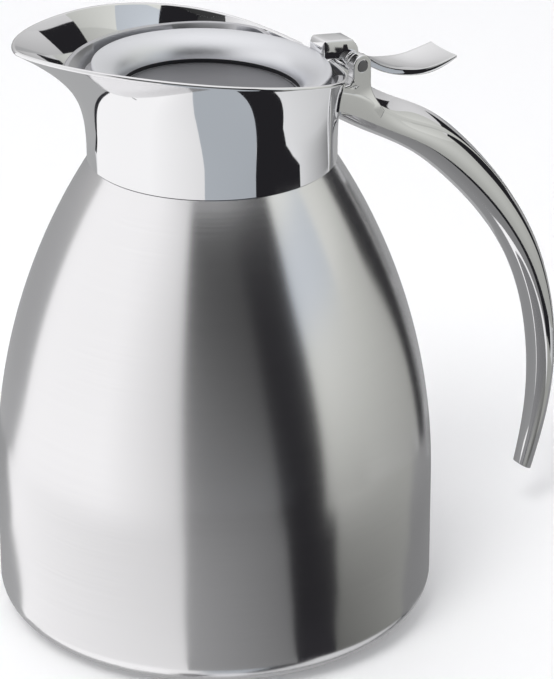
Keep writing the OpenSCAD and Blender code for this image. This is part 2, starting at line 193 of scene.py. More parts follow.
class Finish:
    """A material with its nodes to hand."""

    def __init__(self, name, colour, roughness, metallic=1.0):
        self.material = bpy.data.materials.new(name)
        self.material.use_nodes = True
        self.nodes, self.links = self.material.node_tree.nodes, self.material.node_tree.links
        self.shader = self.nodes["Principled BSDF"]
        self.shader.inputs["Base Color"].default_value = (*colour, 1)
        self.shader.inputs["Roughness"].default_value = roughness
        self.shader.inputs["Metallic"].default_value = metallic
        self.place = self.nodes.new("ShaderNodeTexCoord").outputs["Object"]

    def noise(self, stretch, scale, detail=3.0):
        """Noise on object coordinates, drawn out by the stretch along each axis."""
        mapping = self.nodes.new("ShaderNodeMapping")
        mapping.inputs["Scale"].default_value = stretch
        self.links.new(self.place, mapping.inputs[0])
        texture = self.nodes.new("ShaderNodeTexNoise")
        texture.inputs["Scale"].default_value = scale
        texture.inputs["Detail"].default_value = detail
        self.links.new(mapping.outputs[0], texture.inputs["Vector"])
        return texture.outputs["Fac"]

    def spread(self, value, low, high):
        """The value spread over the range from low to high."""
        node = self.nodes.new("ShaderNodeMapRange")
        node.inputs["To Min"].default_value = low
        node.inputs["To Max"].default_value = high
        self.links.new(value, node.inputs["Value"])
        return node.outputs[0]

    def mix(self, value, first, second):
        """A colour between two, by the value."""
        node = self.nodes.new("ShaderNodeMix")
        node.data_type = "RGBA"
        node.inputs[6].default_value = (*first, 1)
        node.inputs[7].default_value = (*second, 1)
        self.links.new(value, node.inputs[0])
        return node.outputs[2]

    def bump(self, height, strength, distance):
        """Fine relief, as deep as the distance in millimetres."""
        node = self.nodes.new("ShaderNodeBump")
        node.inputs["Strength"].default_value = strength
        node.inputs["Distance"].default_value = distance * mm
        self.links.new(height, node.inputs["Height"])
        self.links.new(node.outputs[0], self.shader.inputs["Normal"])

    def drive(self, socket, value):
        """Lets the value set one of the surface's sockets."""
        self.links.new(value, self.shader.inputs[socket])


brush_lines = (20, 20, 2500)
brushed = Finish("brushed_around", (0.87, 0.865, 0.875), 0.21)
strokes = brushed.noise(brush_lines, 1.0, 2.0)
brushed.drive("Roughness", brushed.spread(strokes, 0.185, 0.23))
brushed.drive("Base Color", brushed.mix(strokes, (0.85, 0.845, 0.855), (0.89, 0.885, 0.895)))
brushed.shader.inputs["Anisotropic"].default_value = 0.45
brushed.shader.inputs["Anisotropic Rotation"].default_value = 0.25
along = brushed.nodes.new("ShaderNodeTangent")
along.direction_type = "UV_MAP"
along.uv_map = "around"
brushed.drive("Tangent", along.outputs[0])

seam_r = body_r - shoulder_r + sqrt(shoulder_r ** 2 - (seam_z - side_top) ** 2)
side_steps, body_turns = 60, 320
outside = [(opening_r, foot_top)] + body_line(0, seam_r, side_steps) + [(neck_r, seam_z), (neck_r, neck_top)]
inside = [(opening_r, foot_top + sheet)] + body_line(sheet, seam_r, side_steps) + [
    (neck_r - sheet, seam_z - sheet), (neck_r - sheet, neck_top)]
shell = spin_line("jug_shell", outside + inside[::-1], brushed, body_turns)
piece("jug_shell", shell, "jug", ["outer_shell"])

# ---- Base cover ----
# A pressed steel pan welded under the shell. Its folded edge is the ring that the jug
# stands on, and it shows as a thin bright line along the bottom of the body.

pan_r, pan_under, pan_inside = 44.0, 1.2, 2.0
bend_at, bend_r, fold_at, fold_r = 47.5, 1.5, 55.6, 0.5
pan_line = ([(0, pan_under), (pan_r, pan_under)] + arc(bend_at, bend_r, bend_r, 190, 270, 5)
            + arc(fold_at, fold_r, fold_r, 270, 450, 8)
            + [(pan_r + 3, foot_top), (pan_r + 0.4, pan_inside), (0, pan_inside)])
pan = spin_line("foot_pan", pan_line, brushed)
piece("foot_pan", pan, "jug", ["base_cover"])

# ---- Flask and what closes the vacuum ----
# The inner flask is drawn from plain sheet and wrapped in bright foil. A getter holds the
# vacuum, and the welded disc below has the dimple where the air was drawn out and sealed.

drawn = Finish("drawn_sheet", (0.62, 0.62, 0.62), 0.35)
drawn.drive("Roughness", drawn.spread(drawn.noise((1, 1, 300), 1.0), 0.28, 0.42))
foil = Finish("rolled_foil", (0.85, 0.85, 0.86), 0.22)
foil.bump(foil.noise((1, 1, 1), 260), 0.3, 0.1)
tablet = Finish("pressed_powder", (0.3, 0.3, 0.31), 0.7, 0.6)
tablet.bump(tablet.noise((1, 1, 1), 1500), 0.4, 0.1)
resin = Finish("cast_resin", (0.28, 0.2, 0.09), 0.25, 0.0)
resin.drive("Roughness", resin.spread(resin.noise((1, 1, 1), 400), 0.2, 0.35))


def dress(name, finish):
    """Gives a solid that stays as it is its finish."""
    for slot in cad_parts[name].material_slots:
        slot.material = finish.material


for name, finish in (("inner_flask", drawn), ("jacket_bottom", drawn), ("heat_foil", foil),
                     ("getter", tablet), ("vacuum_seal", resin)):
    dress(name, finish)

# ---- Collar ----
# The spouted collar is drawn and spun from sheet, then chromed to a mirror. It flares into
# a wide pointed spout, sinks towards the hinge, and is clamped to the neck by an inner ring.

collar_r, collar_wall, flare_power = 36.3, 1.3, 2.7
rim_flare, flare_end, flare_span = 6.6, 172.0, 62.0
spout_reach, spout_angle, spout_power = 20.2, 32.0, 1.46
rim_z, rim_unit, rim_rise, rim_bend, rim_lift = 176.0, 40.0, 6.88, 2.15, 0.75
hinge_dip, dip_start, dip_span = 2.2, 166.0, 5.0


def smooth(t):
    """An easy rise from 0 to 1."""
    t = min(max(t, 0.0), 1.0)
    return t * t * (3 - 2 * t)


def rim_reach(a):
    """The rim's radius at an angle from the spout."""
    spout = spout_reach * exp(-(a / spout_angle) ** spout_power)
    return collar_r + rim_flare * smooth((flare_end - a) / flare_span) + spout


def rim_height(a):
    """The rim's height at an angle from the spout, with the dip for the hinge."""
    u = rim_reach(a) * cos(radians(a)) / rim_unit
    sweep = rim_z + rim_rise * u - rim_bend * u * u + rim_lift * u ** 3
    return sweep - hinge_dip * smooth((a - dip_start) / dip_span)


def wall_point(a, s, depth):
    """(radius, height) at share s of the wall's height, moved in by depth along its normal."""
    out, up = rim_reach(a) - collar_r, rim_height(a) - seam_z
    slope = atan(out * flare_power * s ** (flare_power - 1) / up)
    return collar_r + out * s ** flare_power - depth * cos(slope), seam_z + up * s + depth * sin(slope)


def wall_tangent(a, s):
    """The direction in which the wall rises, as (outwards, upwards)."""
    out, up = rim_reach(a) - collar_r, rim_height(a) - seam_z
    run = out * flare_power * s ** (flare_power - 1)
    return run / sqrt(run * run + up * up), up / sqrt(run * run + up * up)


def ring_mesh(name, section, steps=360):
    """Closed mesh from the section of (radius, height) found at each angle from the spout."""
    points, faces = [], []
    for i in range(steps):
        turn = 2 * pi * i / steps
        a = abs(180 - 360 * i / steps)
        line = section(a)
        points += [(r * cos(turn) * mm, r * sin(turn) * mm, z * mm) for r, z in line]
    n = len(line)
    for i in range(steps):
        j = (i + 1) % steps
        faces += [(i * n + k, j * n + k, j * n + (k + 1) % n, i * n + (k + 1) % n) for k in range(n)]
    mesh = bpy.data.meshes.new(name)
    mesh.from_pydata(points, [], faces)
    return outward(mesh)


foot_share, lip_share, wall_rows, lip_rows = 0.0105, 0.984, 40, 8
ledge_top, ledge_low, ledge_r = 149.0, 147.0, neck_r + 0.3
seam_depth, seam_height = 0.4, 0.38


def collar_section(a):
    """The wall with its round lip, the ledge on the neck and the groove at the seam."""
    shares = [foot_share + (lip_share - foot_share) * (1 - (1 - i / wall_rows) ** 1.5)
              for i in range(wall_rows + 1)]
    outside = [wall_point(a, s, 0) for s in shares]
    inner = [wall_point(a, s, collar_wall) for s in shares[:11:-1]]
    r, z = wall_point(a, lip_share, collar_wall / 2)
    along_r, along_z = wall_tangent(a, lip_share)
    half = collar_wall / 2
    lip = [(r + half * (along_z * cos(t) + along_r * sin(t)),
            z + half * (along_z * sin(t) - along_r * cos(t)))
           for t in (pi * i / lip_rows for i in range(1, lip_rows))]
    bore, groove = collar_r - collar_wall, collar_r - seam_depth
    ledge = [(bore, ledge_top), (ledge_r, ledge_top), (ledge_r, ledge_low), (bore, ledge_low)]
    return outside + lip + inner + ledge + [(bore, seam_z), (groove, seam_z), (groove, outside[0][1])]


chrome = Finish("mirror_chrome", (0.87, 0.87, 0.88), 0.035)
chrome.drive("Roughness", chrome.spread(chrome.noise((1, 1, 1), 90), 0.02, 0.06))
# Painted shade: a near-black colour on the faces of the narrow grooves, the seam under the collar and the
# fine groove round the lid's disc, standing in for the shade in these recesses.
groove_shade = Finish("painted_groove_shade", (0.05, 0.05, 0.055), 0.5)
groove_shade.drive("Roughness", groove_shade.spread(groove_shade.noise((1, 1, 1), 400), 0.4, 0.6))
collar = ring_mesh("spouted_collar", collar_section)
collar.materials.append(chrome.material)
collar.materials.append(groove_shade.material)
# The faces in the groove at the collar's foot take the painted shade.
for face in collar.polygons:
    in_groove = face.center.xy.length > (collar_r - seam_depth - 0.1) * mm
    if in_groove and face.center.z < (seam_z + seam_height) * mm:
        face.material_index = 1
piece("spouted_collar", collar, "jug", ["collar"])

# ---- Throat ring ----
# A steel ring set inside the collar. Its top edge shows as a narrow band around the lid,
# and the ledge below it is the seat that the lid's gasket closes on.

lid_z, lid_tilt, seat_drop = 169.5, 2.5, 3.5
throat_bottom, throat_foot_r, throat_bore = 157.8, 34.4, 32.2
seat_r, seat_out, seat_in, seat_lip = 34.0, 36.9, 33.2, 32.8
band_r, band_rise, band_width, band_edge, throat_gap = 38.0, 0.9, 1.4, 0.15, 0.15
sink_start, sink_span = 138.0, 20.0


def on_slope(r, drop, a):
    """Height of a point below the tilted plane of the lid."""
    return lid_z - drop + r * cos(radians(a)) * tan(radians(lid_tilt))


def throat_section(a):
    """The ring's wall with the band on top and the seat; the band sinks away towards the hinge."""
    sink = smooth((a - sink_start) / sink_span)
    seat = on_slope(seat_r, seat_drop, a)
    top = (1 - sink) * on_slope(band_r, -band_rise, a) + sink * (seat + 0.4)
    s = (top - seam_z) / (rim_height(a) - seam_z)
    rise = wall_tangent(a, s)[1]
    reach = wall_point(a, s, 0)[0] - collar_wall / rise - throat_gap
    inner = reach - band_width + sink
    band = [(reach, top - band_edge), (reach - band_edge, top),
            (inner + band_edge, top), (inner, top - band_edge)]
    return [(throat_foot_r, throat_bottom)] + band + [
        (min(seat_out, inner), seat), (seat_in, on_slope(seat_in, seat_drop, a)),
        (seat_lip, on_slope(seat_lip, seat_drop + 2, a)), (throat_bore, throat_bottom)]


satin_chrome = Finish("satin_chrome", (0.6, 0.6, 0.62), 0.3)
satin_chrome.drive("Roughness", satin_chrome.spread(satin_chrome.noise((1, 1, 1), 300), 0.25, 0.36))
throat = ring_mesh("throat_ring_edge", throat_section)
throat.materials.append(satin_chrome.material)
piece("throat_ring_edge", throat, "jug", ["throat_ring"])

# ---- Neck ring and gasket ----
# A black moulded ring clamps the collar's inner ledge to the neck, and a white silicone
# ring seals the flask's mouth against the throat.

moulded = Finish("black_moulding", (0.03, 0.03, 0.03), 0.5, 0.0)
moulded.bump(moulded.noise((1, 1, 1), 900), 0.25, 0.05)
silicone = Finish("white_silicone", (0.72, 0.72, 0.7), 0.55, 0.0)
silicone.bump(silicone.noise((1, 1, 1), 700), 0.15, 0.05)
dress("neck_ring", moulded)
dress("neck_gasket", silicone)

# ---- Handle ----
# One casting in chromed zinc: a hook that tapers to its free end, and two lugs at its root
# for the hinge pin. It is screwed to the collar from inside.

# Along the hook: the crown's x and z, the inside's x and z, half the width there, half the
# crown's width, and the part of the thickness that the crown's dome takes.
handle_rows = [
    (37.0, 159.4, 37.0, 149.0, 8.1, 8.02, 0.20), (44.0, 158.6, 41.8, 146.3, 8.1, 8.02, 0.24),
    (50.5, 155.8, 47.4, 142.6, 8.1, 7.98, 0.32), (57.0, 151.3, 54.0, 139.2, 7.95, 7.4, 0.40),
    (64.4, 147.8, 60.4, 135.6, 7.7, 6.4, 0.42), (72.8, 143.8, 67.2, 131.4, 7.5, 5.5, 0.36),
    (80.0, 138.2, 73.6, 126.4, 7.3, 4.4, 0.22), (87.4, 131.2, 79.8, 120.6, 7.1, 3.6, 0.14),
    (98.1, 119.2, 88.8, 111.4, 6.8, 3.2, 0.12), (106.5, 107.0, 96.6, 101.6, 6.6, 3.1, 0.12),
    (113.4, 94.6, 103.4, 91.2, 6.5, 3.0, 0.12), (117.9, 81.5, 108.4, 80.2, 6.4, 3.0, 0.12),
    (120.9, 67.5, 112.2, 67.6, 6.3, 2.9, 0.12), (121.9, 53.1, 114.2, 53.2, 6.0, 2.9, 0.12),
    (120.3, 38.8, 114.2, 39.4, 5.2, 2.6, 0.12), (117.6, 26.6, 112.4, 27.8, 4.4, 2.3, 0.12),
    (113.9, 14.9, 109.6, 16.9, 3.8, 2.0, 0.12)]
grip_share, flank_power, dome_round = 0.27, 2.7, 0.55
grip_points, flank_points, dome_points, cast_crease = 12, 17, 15, 40


def soften(rows, spread):
    """Rows of numbers with their kinks smoothed out; the two ends stay."""
    rows = np.array(rows, float)
    reach = 3 * spread
    weights = np.exp(-0.5 * (np.arange(-reach, reach + 1) / spread) ** 2)
    weights /= weights.sum()
    head = 2 * rows[0] - rows[1:reach + 1][::-1]
    tail = 2 * rows[-1] - rows[-reach - 1:-1][::-1]
    padded = np.vstack([head, rows, tail])
    return np.column_stack([np.convolve(padded[:, k], weights, "valid") for k in range(rows.shape[1])])


def flowing(rows, steps, spread):
    """A smooth curve through rows of numbers."""
    rows = np.array(rows, float)
    ends = np.vstack([rows[:1], rows, rows[-1:]])
    fine = []
    for k in range(len(rows) - 1):
        a, b, c, d = ends[k:k + 4]
        for t in np.arange(steps) / steps:
            fine.append(0.5 * (2 * b + (c - a) * t + (2 * a - 5 * b + 4 * c - d) * t * t
                               + (3 * b - a - 3 * c + d) * t ** 3))
    fine.append(rows[-1])
    return soften(fine, spread)


def handle_half(w, f, drop):
    """Half of a cross-section as (across, share of the thickness), from the inside to the crown."""
    grip = [(w * k / grip_points, grip_share * (k / grip_points) ** 3) for k in range(grip_points)]
    edge = 1 - drop
    flank = [(w + (f - w) * t ** flank_power, grip_share + (edge - grip_share) * t)
             for t in np.linspace(0, 1, flank_points)]
    dome = [(f * cos(t), edge + drop * (dome_round * sin(t) + (1 - dome_round) * (1 - cos(t))))
            for t in np.linspace(0, pi / 2, dome_points)[1:]]
    return grip + flank + dome


def loft_mesh(name, rings, crease=32):
    """Closed mesh from rings of equal length, with flat ends."""
    n = len(rings[0])
    points = [tuple(mm * v for v in p) for ring in rings for p in ring]
    faces = [(k * n + i, k * n + (i + 1) % n, (k + 1) * n + (i + 1) % n, (k + 1) * n + i)
             for k in range(len(rings) - 1) for i in range(n)]
    faces += [tuple(range(n))[::-1], tuple(range((len(rings) - 1) * n, len(rings) * n))]
    mesh = bpy.data.meshes.new(name)
    mesh.from_pydata(points, [], faces)
    return outward(mesh, crease)


def handle_ring(row):
    """The whole cross-section of one row, laid between its inside and its crown."""
    crown_x, crown_z, grip_x, grip_z, w, f, drop = row
    half = handle_half(w, f, drop)
    whole = half + [(-y, share) for y, share in half[-2:0:-1]]
    return [(grip_x + (crown_x - grip_x) * share, y, grip_z + (crown_z - grip_z) * share)
            for y, share in whole]


hook = loft_mesh("hook", [handle_ring(row) for row in flowing(handle_rows, 10, 6)])


def outline_mesh(name, outlines, half, middle, edge=0.45):
    """Flat casting of (x, z) outlines, with rounded edges, standing across the Y axis."""
    curve = bpy.data.curves.new(name, "CURVE")
    curve.dimensions, curve.fill_mode = "2D", "BOTH"
    curve.extrude = (half - edge) * mm
    curve.bevel_depth, curve.bevel_resolution = edge * mm, 4
    curve.offset = -edge * mm
    for outline in outlines:
        spline = curve.splines.new("POLY")
        spline.points.add(len(outline) - 1)
        spline.use_cyclic_u = True
        for point, (x, z) in zip(spline.points, outline):
            point.co = (x * mm, z * mm, 0, 1)
    mesh = settle(placed(name, curve))
    mesh.transform(Matrix.Translation((0, middle * mm, 0)) @ Matrix.Rotation(pi / 2, 4, "X"))
    return outward(mesh, cast_crease)


pin_x, pin_z, pin_r, lug_r, lug_in, lug_out = 46.3, 163.5, 1.6, 3.4, 4.56, 7.96
thin_rate, thin_from, thin_foot, thin_blend = 0.19, 42.9, 149.5, 7.0
fillet = flowing([(49.7, 159), (49.7, 157.6), (50, 155.6), (50.9, 153.2), (52.2, 150.9), (53.9, 148.4)], 5, 2)
lug_outline = (arc(pin_x, pin_z, lug_r, 180, 0, 24) + [tuple(p) for p in fillet]
               + [(52.5, 146), (38.2, 150), (38.2, 158.2), (41.8, 158.8), (pin_x - lug_r, 160.4)])
pin_hole = arc(pin_x, pin_z, pin_r, 360, 0, 36)[:-1]


def lug_mesh(side):
    """A lug whose outer face thins towards the back and runs out into the handle's flank."""
    thickness, middle = lug_out - lug_in, side * (lug_in + lug_out) / 2
    maker = placed("lug", outline_mesh("lug", [lug_outline, pin_hole], thickness / 2, middle))
    modifier = maker.modifiers.new("finer", "SUBSURF")
    modifier.subdivision_type = "SIMPLE"
    modifier.levels = modifier.render_levels = 3
    mesh = settle(maker)
    for spot in (vertex.co for vertex in mesh.vertices):
        x, y, z = spot / mm
        share = min(max((abs(y) - lug_in) / thickness, 0), 1)
        thinning = thin_rate * max(x - thin_from, 0) * smooth((z - thin_foot) / thin_blend)
        spot.y -= side * mm * share * thinning
    return outward(mesh, cast_crease)


lug_meshes = [lug_mesh(side) for side in (-1, 1)]


def joined(name, meshes, finish):
    """One mesh from several that overlap."""
    parts = [placed(name, mesh) for mesh in meshes]
    with bpy.context.temp_override(active_object=parts[0], selected_editable_objects=parts):
        bpy.ops.object.join()
    mesh = parts[0].data
    bpy.data.objects.remove(parts[0])
    mesh.materials.clear()
    mesh.materials.append(finish.material)
    mesh.name = name
    return mesh


piece("hook_handle", joined("hook_handle", [hook] + lug_meshes, chrome), "jug", ["handle"])

# ---- Handle screws, hinge pin and washers ----
# Two plain steel screws hold the handle from inside the collar. A steel pin through both
# lugs carries the lid, with a thin white washer on each side of the lever.

hardware = Finish("turned_steel", (0.42, 0.42, 0.43), 0.3)
hardware.drive("Roughness", hardware.spread(hardware.noise((1, 1, 1), 800), 0.25, 0.45))
for name in ("handle_screws", "hinge_pin"):
    dress(name, hardware)
dress("hinge_washers", silicone)

# ---- Lid cover ----
# The top of the lid is a chromed dish of pressed sheet: a rolled edge, a rounded slope and
# a flat satin disc turned on a lathe. It hides the foam and the plug below it.

lid_r, disc_r, disc_depth, disc_rise, disc_edge = 34.6, 25.8, 7.4, 0.3, 0.9
lid_place = Matrix.Translation((0, 0, lid_z * mm)) @ Matrix.Rotation(radians(lid_tilt), 4, "Y")
bead, bead_sink, cover_t, skirt = 0.7, 0.2, 0.8, 2.2
bead_r, slope_rise = lid_r - bead, disc_depth + bead - bead_sink
slope = [(bead_r + (bead_r - disc_r) * cos(t), -disc_depth + slope_rise * sin(t))
         for t in np.linspace(pi, pi / 2, 33)[:-1]]
under = [(lid_r - cover_t + (lid_r - 2 * cover_t - disc_r) * cos(t),
          -disc_depth + (slope_rise - cover_t) * sin(t)) for t in np.linspace(pi / 2, pi, 17)]
disc_line = [(0, -disc_depth + disc_rise), (disc_r - 1.1, -disc_depth + disc_rise),
             (disc_r - disc_edge, -disc_depth + 0.2)]
groove_line = [(disc_r - 0.7, -disc_depth), (disc_r - 0.2, -disc_depth - 0.05)]
skirt_line = [(lid_r, -skirt), (lid_r - cover_t, -skirt)]
dish_line = (disc_line + groove_line + slope + arc(bead_r, -bead_sink, bead, 90, 0, 8)
             + skirt_line + under + [(0, -disc_depth - cover_t + disc_rise)])


def turning_marks(finish, pitch, dark, light):
    """Concentric marks of the lathe, at a pitch in metres."""
    flat, wave = finish.nodes.new("ShaderNodeMapping"), finish.nodes.new("ShaderNodeTexWave")
    flat.inputs["Scale"].default_value = (1, 1, 0)
    finish.links.new(finish.place, flat.inputs[0])
    finish.links.new(flat.outputs[0], wave.inputs["Vector"])
    wave.wave_type, wave.rings_direction = "RINGS", "SPHERICAL"
    width_at_one = 0.314  # metres from ring to ring at a scale of one
    wave.inputs["Scale"].default_value = width_at_one / pitch
    wave.inputs["Distortion"].default_value = 0.4
    finish.drive("Base Color", finish.mix(wave.outputs["Fac"], dark, light))
    finish.drive("Roughness", finish.spread(wave.outputs["Fac"], 0.42, 0.52))


pressed = Finish("pressed_lid", (0.84, 0.85, 0.88), 0.4)
pressed.drive("Roughness", pressed.spread(pressed.noise((1, 1, 1), 60), 0.37, 0.44))
turned_disc = Finish("turned_disc", (0.3, 0.3, 0.32), 0.5)
turning_marks(turned_disc, 0.0011, (0.25, 0.25, 0.265), (0.29, 0.29, 0.305))
dish = spin_line("lid_dish", dish_line, pressed, place=lid_place)
dish.materials.append(turned_disc.material)
dish.materials.append(groove_shade.material)
# The faces of the fine groove round the disc take the painted shade; the disc inside it takes the turned
# finish.
for face in dish.polygons:
    spot = lid_place.inverted() @ face.center / mm
    height = spot.z + disc_depth
    if spot.xy.length < disc_r - disc_edge and height > -0.1:
        face.material_index = 1
    elif spot.xy.length < disc_r + 0.1 and -0.1 < height < 1.0:
        face.material_index = 2
piece("lid_dish", dish, "lid", ["lid_cover"])

# ---- Lid lever ----
# One chromed casting: a foot under the cover, a square block, the knuckle on the hinge pin
# and a thumb plate that widens into a shallow spoon.

lever_crease, plate_lip, plate_belly, plate_bulge = 35, 0.14, 0.06, 0.1
knuckle_r, knuckle_half, knuckle_edge = 3.1, 4.2, 0.2
foot_under, foot_over = -2.2, -1.4


def rounded(x, low, top, w, r):
    """A section across the lever: a box with its four corners rounded."""
    corners = [(w - r, low + r, -90), (w - r, top - r, 0), (r - w, top - r, 90), (r - w, low + r, 180)]
    return [(x, y + r * cos(radians(turn + k * 22.5)), z + r * sin(radians(turn + k * 22.5)))
            for y, z, turn in corners for k in range(5)]


# Along the block: x, the underside, the top, half the width and the corners' rounding.
block_rows = [
    (34.5, 167.4, 170.0, 2.7, 0.3), (34.6, 167.0, 170.3, 3.0, 0.4), (34.85, 166.6, 170.75, 3.3, 0.5),
    (35.3, 166.25, 171.4, 3.5, 0.55), (35.7, 166.1, 171.8, 3.6, 0.55), (36.1, 166.0, 171.88, 3.6, 0.55),
    (38, 165.85, 171.7, 3.6, 0.55), (41.8, 165.3, 171.3, 3.6, 0.55), (43.2, 163.2, 171.12, 3.6, 0.55),
    (44.9, 163.0, 170.95, 3.6, 0.55), (45.3, 163.0, 170.7, 3.6, 0.55), (46.5, 163.0, 169.1, 3.6, 0.55),
    (46.85, 163.0, 168.4, 3.6, 0.5), (47.05, 163.0, 167.6, 3.55, 0.45), (47.15, 163.2, 166.6, 3.5, 0.4)]
block = loft_mesh("block", [rounded(*row) for row in block_rows], lever_crease)

# Along the thumb plate: x, the top, the underside, half the width and the spoon's hollow.
plate_rows = [
    (45.6, 166.8, 163.0, 3.5, 0.0), (48.5, 165.8, 162.0, 3.7, 0.0), (51.0, 164.1, 161.3, 4.2, 0.0),
    (54.0, 161.9, 159.6, 5.0, 0.1), (58.0, 160.4, 158.2, 6.1, 0.3), (62.0, 159.6, 157.4, 6.9, 0.5),
    (66.0, 159.1, 156.9, 7.3, 0.7), (70.0, 159.2, 156.9, 7.4, 0.7), (74.5, 160.0, 157.9, 7.4, 0.5),
    (79.0, 161.1, 160.0, 7.2, 0.3)]


def plate_ring(row):
    """A section across the thumb plate: hollow on top, with a bulging side."""
    x, top, low, w, dish = row
    t, r = top - low, plate_lip
    lower = [((1 - plate_bulge) * w * k / 6, low + plate_belly * t * (k / 6) ** 2) for k in range(7)]
    side = [(w - plate_bulge * w * (1 - sin(pi / 2 * share ** 0.6)) * (1 - share),
             low + plate_belly * t + ((1 - plate_belly) * t - r) * share) for share in np.linspace(0.1, 1, 8)]
    lip = [(w - r * (1 - cos(turn)), top - r * (1 - sin(turn))) for turn in np.linspace(0, pi / 2, 5)[1:]]
    crown = [((w - r) * k / 10, top - dish * (1 - (k / 10) ** 2)) for k in range(9, -1, -1)]
    half = lower + side + lip + crown
    return [(x, y, z) for y, z in half + [(-y, z) for y, z in half[-2:0:-1]]]


plate = loft_mesh("plate", [plate_ring(row) for row in flowing(plate_rows, 8, 3)], lever_crease)
knuckle_outline = arc(pin_x, pin_z, knuckle_r, 0, 360, 48)[:-1]
knuckle = outline_mesh("knuckle", [knuckle_outline], knuckle_half, 0, knuckle_edge)
foot = loft_mesh("foot", [[(x, -w, foot_under), (x, w, foot_under), (x, w, foot_over), (x, -w, foot_over)]
                          for x, w in ((30.4, 7), (33, 7), (33.2, 3.5), (35.9, 3.5))])
foot.transform(lid_place)
lever = joined("thumb_lever", [block, plate, knuckle, foot], chrome)
piece("thumb_lever", lever, "lid", ["lid_lever"])

# ---- Inside of the lid ----
# A black plug closes the neck and holds a block of foam; a white gasket sits under its
# edge, and two flush rivets fix the lever's foot to it.

foam = Finish("moulded_foam", (0.72, 0.69, 0.6), 0.85, 0.0)
foam.bump(foam.noise((1, 1, 1), 1200), 0.6, 0.2)
for name, finish in (("lid_plug", moulded), ("lid_gasket", silicone),
                     ("lid_foam", foam), ("lid_rivets", hardware)):
    dress(name, finish)

# ---- Studio ----
# Sheets of light and black flags stand around the jug, and the chrome and the brushing
# mirror them. A few lie on the table for what the foot of the body mirrors.

camera_turn, card_distance, card_steps, row_steps = -118.9, 20.0, 16, 6
table_lift, near_limit = 0.0004, 0.158


def glow(name, colour, near):
    """A card's surface: plain light, as strong at each point as the mesh's light value says.
    A near one lights only what is close to it."""
    material = bpy.data.materials.new(name)
    material.use_nodes = True
    new, link = material.node_tree.nodes.new, material.node_tree.links.new
    material.node_tree.nodes.clear()
    lamp, out, strength = (new("ShaderNode" + kind) for kind in ("Emission", "OutputMaterial", "Attribute"))
    strength.attribute_name = "light"
    lamp.inputs["Color"].default_value = (*colour, 1)
    link(strength.outputs["Fac"], lamp.inputs["Strength"])
    link(lamp.outputs[0], out.inputs[0])
    if near:
        path, far, clear, mix = (new("ShaderNode" + kind)
                                 for kind in ("LightPath", "Math", "BsdfTransparent", "MixShader"))
        far.operation = "GREATER_THAN"
        far.inputs[1].default_value = near_limit
        link(path.outputs["Ray Length"], far.inputs[0])
        link(far.outputs[0], mix.inputs[0])
        link(lamp.outputs[0], mix.inputs[1])
        link(clear.outputs[0], mix.inputs[2])
        link(mix.outputs[0], out.inputs[0])
    return material


def on_sky(up, turn):
    """A point far away, at an elevation in degrees and a direction."""
    out = card_distance * cos(radians(up))
    return out * cos(turn), out * sin(turn), card_distance * sin(radians(up))


def on_table(reach, turn):
    """A point on the table, at a reach in metres and a direction."""
    return reach * cos(turn), reach * sin(turn), table_lift


def card(name, colour, rows, place=on_sky):
    """A sheet of light around the jug. Each row is an elevation, or a reach on the table, then the
    sheet's two edges in degrees to the right of the camera, then its light at both edges."""
    points, lights = [], []
    for k in range(len(rows) - 1):
        for t in np.linspace(0, 1, row_steps + 1)[k > 0:]:
            at, start, end, first, last = (a * (1 - t) + b * t for a, b in zip(rows[k], rows[k + 1]))
            for share in np.linspace(0, 1, card_steps + 1):
                points.append(place(at, radians(camera_turn + start + (end - start) * share)))
                lights.append(first + (last - first) * share)
    n = card_steps + 1
    faces = [(k * n + i, k * n + i + 1, (k + 1) * n + i + 1, (k + 1) * n + i)
             for k in range(len(points) // n - 1) for i in range(card_steps)]
    mesh = bpy.data.meshes.new(name)
    mesh.from_pydata(points, [], faces)
    mesh.attributes.new("light", "FLOAT", "POINT").data.foreach_set("value", lights)
    mesh.materials.append(glow(name, colour, place == on_table))
    made = placed(name, mesh)
    made.visible_camera = made.visible_shadow = made.visible_diffuse = False


def flag(name, rows, dark=0.02):
    """A black sheet around the jug, with rows of an elevation and its two edges."""
    card(name, black, [(*row, dark, dark) for row in rows])


white, plain, pale = (1.0, 0.995, 1.0), (0.97, 0.975, 0.985), (0.97, 0.98, 0.93)
cool, black = (0.87, 0.93, 1.0), (0.9, 0.87, 1.0)

# The left of the jug mirrors one wide white card that dims towards the front.
card("card_left", white, [
    (-80, -134, -60, 1.03, 1.03), (-24, -134, -60, 1.03, 1.03), (-20, -130, -60, 1.02, 1.02),
    (-15, -121, -59.5, 1.02, 1.02), (-7, -119, -59, 1.02, 1.02), (0, -118, -58, 1.02, 1.0),
    (25, -118, -56, 1.02, 1.0), (36, -118, -52, 1.02, 1.0), (45, -118, -52, 1.0, 1.0)])
card("card_left_edge", white, [
    (-80, -60, -14, 1.03, 0.84), (-60, -60, -13, 1.03, 0.84), (-42, -60, -10, 1.03, 0.84),
    (-28, -60, -7, 1.03, 0.82), (-21, -60, -7, 1.03, 0.82), (-20.9, -60, -16, 1.03, 0.72),
    (3, -58, -17, 1.0, 0.68), (20, -56, -18, 1.0, 0.7), (36, -52, -20, 1.0, 0.76), (45, -52, -22, 1.0, 0.8)])

